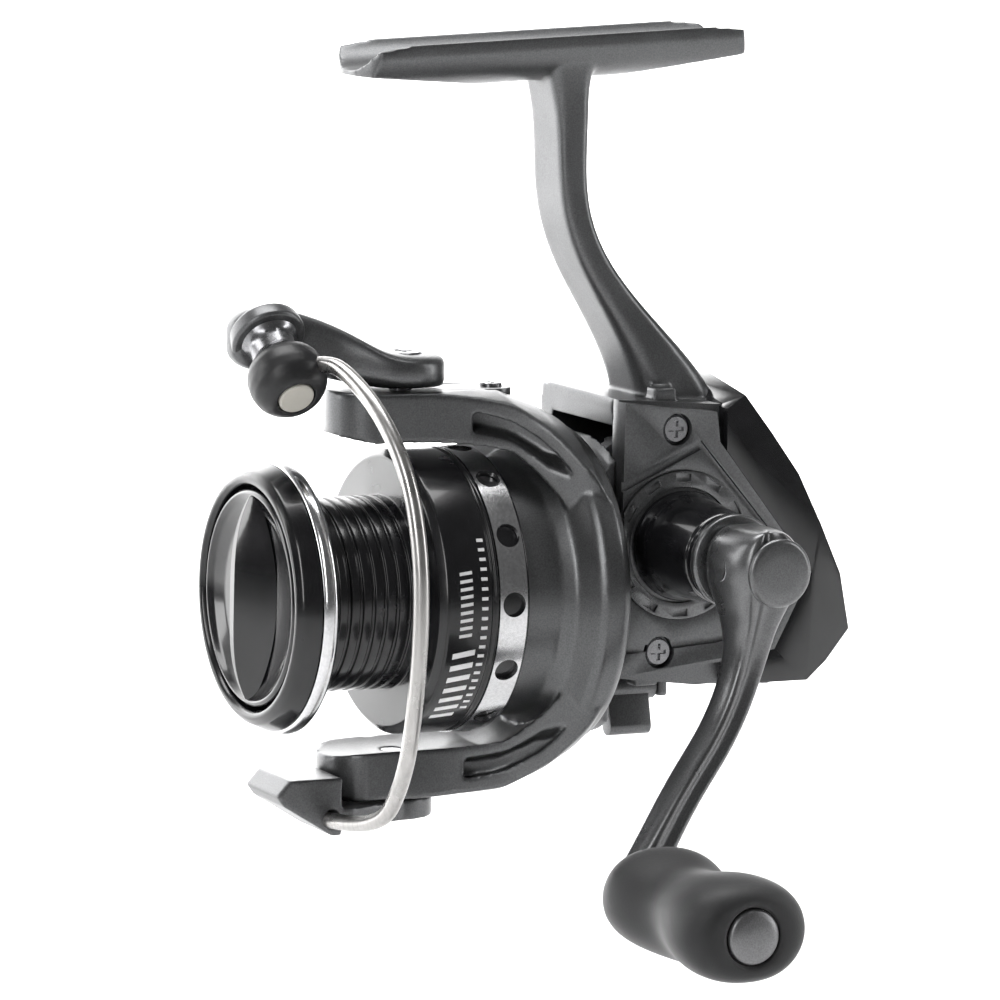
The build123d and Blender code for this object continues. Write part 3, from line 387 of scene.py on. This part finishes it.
EDGED = {"side_cover": 0.22, "rear_cover": 0.5, "arm_covers": 0.25, "anti_reverse_lever": 0.35,
    "far_port_cap": 0.3,
         "bearing_trim_ring": 0.1}
for name, width in EDGED.items():
    settle(crisp(name, width), name, SLOT_MATERIALS[SLOT_OF[name]])

for name in ("skirt_band", "line_roller", "bail_arm_screw", "bracket_screw", "side_cover_screws",
    "rear_cover_screws",
             "arm_cover_screws", "handle_screw"):
    settle(smoothed(name), name, BRIGHT if name == "skirt_band" else DARK_SCREW)


# ======================= pieces: turned parts =======================
def lathe(name, profile, origin, axis, cross, segments=144, flat_above=34):
    """Turns (distance, radius) points, in millimetres, about an axis; cross starts the turn."""
    work = bmesh.new()
    axis, cross = Vector(axis).normalized(), Vector(cross).normalized()
    third = axis.cross(cross)
    rings = []
    for along, radius in profile:
        ring = []
        for step in range(segments if radius > 0 else 1):
            turn = 2 * pi * step / segments
            out = cross * cos(turn) + third * sin(turn)
            ring.append(work.verts.new(Vector(origin) + axis * (along * MM) + out * (radius * MM)))
        rings.append(ring)
    for near, far in zip(rings, rings[1:]):
        for step in range(segments):
            after = (step + 1) % segments
            corners = [near[step % len(near)], near[after % len(near)], far[after % len(far)],
                far[step % len(far)]]
            unique = list(dict.fromkeys(corners))
            if len(unique) > 2:
                work.faces.new(unique)
    thing = mesh_object(name, work)
    for face in thing.data.polygons:
        face.use_smooth = True
    shade(thing, flat_above)
    return thing


def rounded(points, radius, steps=4):
    """Rounds the corners of a (distance, radius) profile."""
    result = [points[0]]
    for before, corner, after in zip(points, points[1:], points[2:]):
        here = Vector(corner)
        back, forth = Vector(before) - here, Vector(after) - here
        cut = min(radius, back.length * 0.45, forth.length * 0.45)
        start, end = here + back.normalized() * cut, here + forth.normalized() * cut
        for step in range(steps + 1):
            share = step / steps
            result.append(tuple(start * (1 - share) ** 2 + here * 2 * share * (1 - share) + end * share ** 2))
    result.append(points[-1])
    return result


def shaft_lathe(name, profile, edge=0.25, **more):
    return lathe(name, rounded(profile, edge), SHAFT_ORIGIN, SHAFT_X, SHAFT_Y, **more)


SKIRT_R, ARBOR_R = 19.2, 13.0
GROOVES, GROOVE_FIRST, GROOVE_STEP = 6, -49.4, 1.75
arbor = []
for groove in range(GROOVES):
    start = GROOVE_FIRST + groove * GROOVE_STEP
    arbor += [(start, ARBOR_R), (start + 0.08, ARBOR_R - 0.32), (start + 0.5, ARBOR_R - 0.32),
        (start + 0.58, ARBOR_R)]
spool_profile = [(-53.2, 10.6), (-53.2, 14.9), (-57.6, 15.0), (-58.3, 15.4), (-58.3, 16.1),
    (-57.6, 16.9), (-55.2, 17.9),
                 (-55.2, 17.2), (-52.8, 17.2), (-52.0, 15.4), (-50.6, ARBOR_R)] + arbor + [
                 (-38.7, ARBOR_R), (-38.7, 18.2), (-37.7, SKIRT_R), (-31.4, SKIRT_R),
                     (-31.2, SKIRT_R - 0.25),
                 (-30.9, SKIRT_R - 0.25), (-30.7, SKIRT_R), (-30.3, SKIRT_R), (-30.3, 18.6), (-26.2, 18.6),
                 (-26.2, SKIRT_R), (-25.8, SKIRT_R - 0.1), (-25.8, 18.0), (-37.0, 18.0), (-37.0, 11.6),
                     (-46.0, 11.6)]
settle(shaft_lathe("spool_turned", spool_profile, 0.3), "spool", SPOOL_BLACK)
lip = [(-55.0, 17.0), (-55.2, 18.0), (-54.6, 18.45), (-53.6, 18.5), (-52.9, 17.9), (-52.8, 17.0)]
settle(shaft_lathe("lip_turned", lip, 0.35), "lip_ring", BRIGHT)


CRANK_Z = 6.5                       # the crank axis above the main shaft


def crank_lathe(name, profile, edge=0.3):
    origin = at(0, 0, CRANK_Z)
    return lathe(name, rounded(profile, edge), origin, -SHAFT_Y, SHAFT_X)


settle(crank_lathe("barrel_turned", [(12.6, 0), (12.6, 7.4), (13.6, 7.5), (15.2, 7.2), (16.0, 6.95),
    (25.2, 6.15),
                                     (25.6, 5.9), (26.2, 5.9), (26.6, 6.1), (26.9, 5.8), (26.9, 0)]),
                                         "handle_barrel", GLOSS_BLACK)
settle(crank_lathe("collar_turned", [(26.9, 0), (26.9, 6.1), (27.2, 6.3), (28.0, 6.3), (28.3, 6.0),
    (28.3, 0)]),
       "handle_collar", TRIM)

# ---- crank arm: a forged hub that flows into a ridged, curving arm ----
# stations: (shaft x, shaft z, outer face, inner face, half width), all in millimetres from the shaft's frame
ARM_STATIONS = [(0.0, 11.9, -37.6, -29.4, 1.6), (0.0, 11.5, -38.2, -28.7, 3.2),
    (0.0, 10.2, -38.6, -28.4, 4.8),
                (0.05, 8.4, -38.7, -28.4, 5.6), (0.1, 6.5, -38.7, -28.4, 5.8),
                    (0.1, 4.4, -38.5, -28.4, 5.5),
                (0.05, 2.4, -38.0, -28.5, 4.7), (0.0, 0.4, -37.1, -28.9, 3.75),
                    (-0.2, -1.8, -36.2, -29.6, 3.15),
                (-0.5, -4.8, -35.4, -30.6, 2.75), (-1.5, -8.6, -35.2, -30.9, 2.55),
                    (-3.1, -12.4, -35.6, -31.3, 2.45),
                (-6.0, -16.8, -36.6, -32.2, 2.4), (-9.4, -20.6, -37.6, -33.2, 2.4),
                    (-12.5, -24.6, -38.5, -34.2, 2.4),
                (-15.0, -28.4, -39.1, -35.0, 2.5), (-16.8, -31.4, -39.4, -35.6, 2.8),
                    (-18.0, -34.0, -39.5, -36.0, 3.4),
                (-18.9, -36.4, -39.4, -36.1, 3.2), (-19.6, -38.2, -39.2, -36.2, 1.9)]


def make_arm():
    """The arm's cross-section: two bright ridges with a shallow groove between them."""
    section = [(-1.0, 0.18), (-0.93, 0.62), (-0.7, 0.95), (-0.42, 1.0), (-0.16, 0.9), (0.06, 0.86),
        (0.3, 0.93), (0.58, 1.0),
               (0.86, 0.86), (1.0, 0.5), (1.0, 0.2), (0.88, 0.03), (0.5, 0.0), (-0.5, 0.0), (-0.88, 0.03)]
    work = bmesh.new()
    rings = []
    for index, (x, z, outer, inner, half) in enumerate(ARM_STATIONS):
        before = ARM_STATIONS[max(0, index - 1)]
        after = ARM_STATIONS[min(len(ARM_STATIONS) - 1, index + 1)]
        run = Vector((after[0] - before[0], after[1] - before[1])).normalized()
        side_x, side_z = -run.y, run.x
        ring = []
        for across, out in section:
            y = inner + (outer - inner) * out
            ring.append(work.verts.new(at(x + side_x * across * half, y, z + side_z * across * half)))
        rings.append(ring)
    skin(work, rings)
    work.faces.new(rings[0])
    work.faces.new(list(reversed(rings[-1])))
    return softened(mesh_object("arm_forged", work))


settle(make_arm(), "handle_arm", ARM_PAINT)
# the hub's raised oval pad, facing out
pad = [(37.9, 0), (37.9, 4.5), (38.7, 4.6), (39.1, 4.1), (39.25, 2.6), (39.3, 0)]
pad_piece = lathe("hub_pad", rounded(pad, 0.3), at(0.9, 0, 6.4), -SHAFT_Y, SHAFT_X)
beside(pad_piece, ARM_PAINT, "handle_arm")

# ---- drag knob: a dished face with a faceted grip bar across it ----
knob_face = [(-51.4, 6.9), (-54.2, 7.0), (-54.2, 14.4), (-57.7, 14.5), (-58.1, 13.9), (-57.4, 13.0),
    (-56.6, 11.0),
             (-56.2, 7.0), (-56.1, 0)]
dish = shaft_lathe("drag_dish", knob_face, 0.3)


def drag_bar():
    """The grip bar: a tall lens in front view, ridged down its middle and pinched at both ends."""
    work = bmesh.new()
    rows = []
    count = 24
    for step in range(count + 1):
        up = -1 + 2 * step / count
        height = up * 13.6
        wide = 3.4 * (1 - abs(up) ** 2.2) + 0.7
        crest = -60.4 + 2.2 * abs(up) ** 3.5
        base = -56.2 - 1.1 * up * up
        row = []
        for side, depth in ((-1.25, base), (-0.62, (base + crest) / 2), (-0.16, crest), (0.16, crest),
                            (0.62, (base + crest) / 2), (1.25, base)):
            row.append(work.verts.new(at(depth, side * wide, height)))
        rows.append(row)
    for low, high in zip(rows, rows[1:]):
        for k in range(5):
            work.faces.new((low[k], low[k + 1], high[k + 1], high[k]))
    work.faces.new(rows[0])
    work.faces.new(list(reversed(rows[-1])))
    for k in range(len(rows) - 1):
        work.faces.new((rows[k][5], rows[k][0], rows[k + 1][0], rows[k + 1][5]))
    thing = mesh_object("drag_bar", work)
    for face in thing.data.polygons:
        face.use_smooth = True
    shade(thing, 24)
    return thing


bar = drag_bar()
beside(bar, GLOSS_BLACK, "drag_knob")
settle(dish, "drag_knob", GLOSS_BLACK)

# ---- bail lever: one curved form from the pivot boss to the line roller's ear ----
# stations: shaft x, middle y, half width, underside, top
LEVER_STATIONS = [(-30.5, 0, 0.9, 27.9, 31.2), (-31.1, 0, 2.9, 27.6, 31.9), (-33.0, 0, 5.0, 27.56, 32.2),
                  (-36.5, 0, 6.0, 27.56, 32.3), (-39.8, 0.5, 5.7, 27.56, 32.6),
                      (-42.5, 1.5, 4.7, 27.9, 34.3),
                  (-46.0, 2.9, 3.5, 28.6, 36.2), (-50.0, 3.8, 2.9, 29.4, 37.6),
                      (-54.0, 3.9, 2.7, 29.6, 38.5),
                  (-57.4, 3.6, 2.5, 29.9, 38.4), (-59.6, 3.3, 2.1, 31.2, 37.2),
                      (-60.3, 3.2, 1.0, 32.8, 35.6)]


def make_lever():
    around = 20
    work = bmesh.new()
    rings = []
    for x, middle, half, low, high in LEVER_STATIONS:
        ring = []
        for step in range(around):
            turn = 2 * pi * (step + 0.5) / around
            across = abs(cos(turn)) ** 0.62 * (1 if cos(turn) >= 0 else -1)
            up = abs(sin(turn)) ** 0.62 * (1 if sin(turn) >= 0 else -1)
            ring.append(work.verts.new(at(x, middle + half * across,
                (low + high) / 2 + (high - low) / 2 * up)))
        rings.append(ring)
    skin(work, rings)
    work.faces.new(rings[0])
    work.faces.new(list(reversed(rings[-1])))
    return softened(mesh_object("lever_cast", work))


settle(make_lever(), "bail_arm", GUNMETAL)

# ---- line roller's cap, leaning along the roller's own axis ----
ROLL_AXIS = -Vector(JOINTS["roller_spin"]["axis"])
if ROLL_AXIS.dot(SHAFT_Y) > 0:
    ROLL_AXIS = -ROLL_AXIS
ROLL_POINT = Vector(JOINTS["roller_spin"]["pos_m"])
cap_profile = [(2.95, 0), (2.95, 4.2), (3.5, 4.75), (4.6, 5.2), (6.2, 5.3), (7.6, 5.0), (8.7, 4.3),
    (9.5, 3.4), (9.75, 2.7),
               (9.3, 2.5), (8.95, 2.5), (8.95, 0)]
settle(lathe("roller_cap", rounded(cap_profile, 0.4), ROLL_POINT, ROLL_AXIS, SHAFT_X), "wire_end_cap",
    SATIN_BLACK)
ear = [(-4.2, 0), (-4.2, 4.2), (-3.8, 4.9), (-1.9, 5.1), (-1.5, 4.8), (-1.5, 0)]
ear_piece = lathe("roller_ear", rounded(ear, 0.4), ROLL_POINT, ROLL_AXIS, SHAFT_X)
beside(ear_piece, GUNMETAL, "bail_arm")
disc = [(8.9, 0), (8.9, 2.42), (9.55, 2.42), (9.8, 2.2), (9.85, 0)]
settle(lathe("roller_disc", rounded(disc, 0.15), ROLL_POINT, ROLL_AXIS, SHAFT_X), "roller_screw", IVORY)

# ---- bail wire ----
WIRE_R = 1.08
WIRE = [(-54.0, -5.6, 31.4), (-51.6, -9.0, 32.4), (-50.2, -12.8, 31.4), (-48.6, -20.4, 26.6),
    (-47.4, -26.6, 19.0),
        (-47.0, -29.6, 9.6), (-46.9, -30.0, 0), (-46.9, -28.8, -10.6), (-46.6, -25.4, -20.8),
            (-47.0, -18.6, -29.0),
        (-49.6, -6.4, -29.0)]


def make_wire():
    data = bpy.data.curves.new("bail_wire_drawn", "CURVE")
    data.dimensions = "3D"
    data.resolution_u = 16
    data.bevel_depth = WIRE_R * MM
    data.bevel_resolution = 8
    data.use_fill_caps = True
    spline = data.splines.new("NURBS")
    spline.points.add(len(WIRE) - 1)
    for point, (x, y, z) in zip(spline.points, WIRE):
        point.co = (*at(x, y, z), 1)
    spline.order_u = 3
    spline.use_endpoint_u = True
    thing = new_object("bail_wire_drawn", data)
    bpy.context.view_layer.update()
    mesh = bpy.data.meshes.new_from_object(thing.evaluated_get(bpy.context.evaluated_depsgraph_get()))
    bpy.data.objects.remove(thing)
    for face in mesh.polygons:
        face.use_smooth = True
    return new_object("bail_wire_tube", mesh)


settle(make_wire(), "bail_wire", WIRE_METAL)

# ---- handle knob ----
KNOB_POINT = Vector(JOINTS["knob_spin"]["pos_m"])
KNOB_LOW, KNOB_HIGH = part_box("knob_grip")
KNOB_LONG = (KNOB_HIGH.y - KNOB_LOW.y) / MM


WAIST_SKEW, WAIST_REACH = 3.2, 0.42  # how far the waist runs aslant, and over what share of half the length


def make_knob():
    """A soft two-lobed grip: broad at both ends, with a waist that runs aslant round it."""
    sections = [(0.0, 4.6, 3.9, 0), (0.015, 6.2, 5.0, 0), (0.07, 7.7, 6.1, 0.3), (0.17, 8.8, 6.6, 0.4),
        (0.28, 8.5, 6.6, 0.2),
                (0.40, 7.2, 6.1, -0.3), (0.5, 6.6, 5.7, -0.5), (0.62, 7.6, 6.1, -0.2),
                    (0.74, 8.9, 6.7, 0.2),
                (0.86, 9.2, 6.8, 0.3), (0.94, 8.5, 6.4, 0.1), (0.985, 7.0, 5.6, 0), (1.0, 5.6, 4.9, 0)]
    around = 28
    work = bmesh.new()
    rings = []
    for share, wide, high, lift in sections:
        ring = []
        skew = WAIST_SKEW * max(0.0, 1 - abs(share - 0.5) / WAIST_REACH)
        for step in range(around):
            turn = 2 * pi * step / around
            across, up = cos(turn), sin(turn)
            flat = abs(across) ** 0.86 * (1 if across >= 0 else -1)
            out = share * KNOB_LONG - skew * up
            spot = KNOB_POINT + SHAFT_X * (flat * wide * MM) + SHAFT_Z * ((up * high + lift) * MM)
            spot.y = KNOB_HIGH.y - out * MM
            ring.append(work.verts.new(spot))
        rings.append(ring)
    skin(work, rings)
    work.faces.new(rings[0])
    # the outer end is open in the middle for the cap
    well = []
    for deep, radius in ((0.0, 4.1), (0.35, 3.85), (1.6, 3.8)):
        ring = []
        for step in range(around):
            turn = 2 * pi * step / around
            spot = KNOB_POINT + SHAFT_X * (cos(turn) * radius * MM) + SHAFT_Z * (sin(turn) * radius * MM)
            spot.y = KNOB_LOW.y + deep * MM
            ring.append(work.verts.new(spot))
        well.append(ring)
    skin(work, [rings[-1]] + well)
    work.faces.new(well[-1])
    return softened(mesh_object("knob_moulded", work))


settle(make_knob(), "knob_grip", RUBBER)
button = [(-1.6, 0), (-1.6, 3.6), (-0.35, 3.62), (0.05, 3.4), (0.4, 2.6), (0.62, 1.4), (0.7, 0)]
button_origin = Vector((KNOB_POINT.x, KNOB_LOW.y, KNOB_POINT.z))
settle(lathe("knob_button", rounded(button, 0.3), button_origin, -SHAFT_Y, SHAFT_X), "knob_cap", CAP_METAL)


# ---- generic printed marks round the skirt: slanted bars, a row of ticks and a pointer ----
MARK_STEPS, MARK_RISE = 5, 0.06
# each kind: count, first turn, step, rear x, front x, turn offset at the rear, at the front, width in degrees
MARKS = {
    "bar": (7, 232, 5.6, -36.6, -33.4, 1.2, -0.4, 2.4),
    "tick": (9, 190, 3.1, -36.0, -34.2, 0.6, 0.0, 1.3),
    "dot": (20, 226, 3.9, -32.9, -32.0, 0.5, 0.5, 1.3),
}
POINTER = [(-28.6, 258.8), (-26.0, 261.0), (-26.0, 261.4), (-28.6, 256.4)]
POINTER_R = SKIRT_R + 0.15


def patch(name, corners, radius):
    """A thin raised mark on a cylinder about the shaft; corners are (x, turn in degrees)."""
    work = bmesh.new()
    top = []
    (xa, ta), (xb, tb), (xc, tc), (xd, td) = corners
    for row in range(MARK_STEPS + 1):
        share = row / MARK_STEPS
        left = (xa + (xd - xa) * share, ta + (td - ta) * share)
        right = (xb + (xc - xb) * share, tb + (tc - tb) * share)
        pair = []
        for x, turn in (left, right):
            pair.append(work.verts.new(at(x, radius * cos(radians(turn)), radius * sin(radians(turn)))))
        top.append(pair)
    faces = [work.faces.new((a[0], a[1], b[1], b[0])) for a, b in zip(top, top[1:])]
    raised = bmesh.ops.extrude_face_region(work, geom=faces)
    for vert in (item for item in raised["geom"] if isinstance(item, bmesh.types.BMVert)):
        away = vert.co - SHAFT_ORIGIN
        away -= SHAFT_X * away.dot(SHAFT_X)
        vert.co += away.normalized() * MARK_RISE * MM
    thing = mesh_object(name, work)
    dress(thing, MARKING)
    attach(thing, "spool")


def make_marks():
    patch("mark_pointer", POINTER, POINTER_R)
    for kind, (count, first, step, rear, front, rear_turn, front_turn, width) in MARKS.items():
        for k in range(count):
            turn = first - k * step
            corners = [(rear, turn + rear_turn), (front, turn + front_turn),
                       (front, turn + front_turn - width), (rear, turn + rear_turn - width)]
            patch(f"mark_{kind}_{k}", corners, SKIRT_R)


make_marks()

# ======================= stage, lights and camera =======================
def make_backdrop():
    """A pale floor that curves up into a wall, so that no horizon shows."""
    floor_z = cad_box[0][2] - 0.06
    work = bmesh.new()
    rows = []
    profile = [(-3.0, 0.0), (0.5, 0.0), (0.8, 0.02), (1.0, 0.12), (1.12, 0.35), (1.15, 0.8), (1.15, 1.8)]
    for depth, rise in profile:
        rows.append([work.verts.new((side, depth, floor_z + rise)) for side in (-3.2, -1.6, 0, 1.6, 3.2)])
    for near, far in zip(rows, rows[1:]):
        for i in range(4):
            work.faces.new((near[i], near[i + 1], far[i + 1], far[i]))
    mesh = bpy.data.meshes.new("backdrop")
    work.to_mesh(mesh)
    work.free()
    thing = new_object("backdrop", mesh)
    bend = thing.modifiers.new("bend", "SUBSURF")
    bend.levels = bend.render_levels = 3
    baked(thing)
    dress(thing, moulded("backdrop_paper", (0.93, 0.93, 0.93), 0.9))


def add_light(name, place, target, size, power, tint=(1, 1, 1)):
    data = bpy.data.lights.new(name, "AREA")
    data.shape = "RECTANGLE"
    data.size, data.size_y = size
    data.energy = power
    data.color = tint
    thing = bpy.data.objects.new(name, data)
    bpy.context.scene.collection.objects.link(thing)
    thing.location = place
    thing.rotation_euler = (Vector(target) - Vector(place)).to_track_quat("-Z", "Y").to_euler()


def make_lights():
    centre = (-0.01, 0, -0.07)
    add_light("overhead", (0.05, 0.15, 0.8), centre, (0.8, 0.4), 7.5)
    add_light("key", (-0.62, -0.5, 0.3), centre, (0.16, 0.7), 2.6)
    add_light("right_strip", (0.75, -0.35, 0.1), centre, (0.14, 0.7), 2.0)
    add_light("left_back", (-0.75, 0.3, 0.2), centre, (0.2, 0.6), 2.0)
    add_light("backdrop_wash", (0.0, 0.6, 0.55), (0, 1.15, 0.1), (1.8, 0.5), 34.0)
    world = bpy.data.worlds.new("studio")
    world.use_nodes = True
    world.node_tree.nodes["Background"].inputs["Color"].default_value = (1, 1, 1, 1)
    world.node_tree.nodes["Background"].inputs["Strength"].default_value = 0.12
    bpy.context.scene.world = world
    bpy.context.scene.view_settings.view_transform = "Standard"


# The view: round to the spool's side, a little above, with a slight lean, aimed from the shaft's frame
VIEW_AZIMUTH, VIEW_ELEVATION, VIEW_LEAN = radians(-26.09), radians(9.33), radians(-1.22)
VIEW_AIM = at(-21.12, 0, 11.69)
VIEW_DISTANCE, VIEW_LENS = 0.78904, 210.24


def make_camera():
    back = Vector((sin(VIEW_AZIMUTH) * cos(VIEW_ELEVATION), -cos(VIEW_AZIMUTH) * cos(VIEW_ELEVATION),
                   sin(VIEW_ELEVATION)))
    level = Vector((cos(VIEW_AZIMUTH), sin(VIEW_AZIMUTH), 0))
    upright = back.cross(level)
    right = level * cos(VIEW_LEAN) + upright * sin(VIEW_LEAN)
    up = upright * cos(VIEW_LEAN) - level * sin(VIEW_LEAN)
    data = bpy.data.cameras.new("camera")
    data.sensor_width = 36.0
    data.lens = VIEW_LENS
    data.clip_start, data.clip_end = 0.01, 20
    thing = bpy.data.objects.new("camera", data)
    bpy.context.scene.collection.objects.link(thing)
    turn = Matrix((right, up, back)).transposed().to_4x4()
    turn.translation = VIEW_AIM + back * VIEW_DISTANCE
    thing.matrix_world = turn
    bpy.context.scene.camera = thing


make_backdrop()
make_lights()
make_camera()
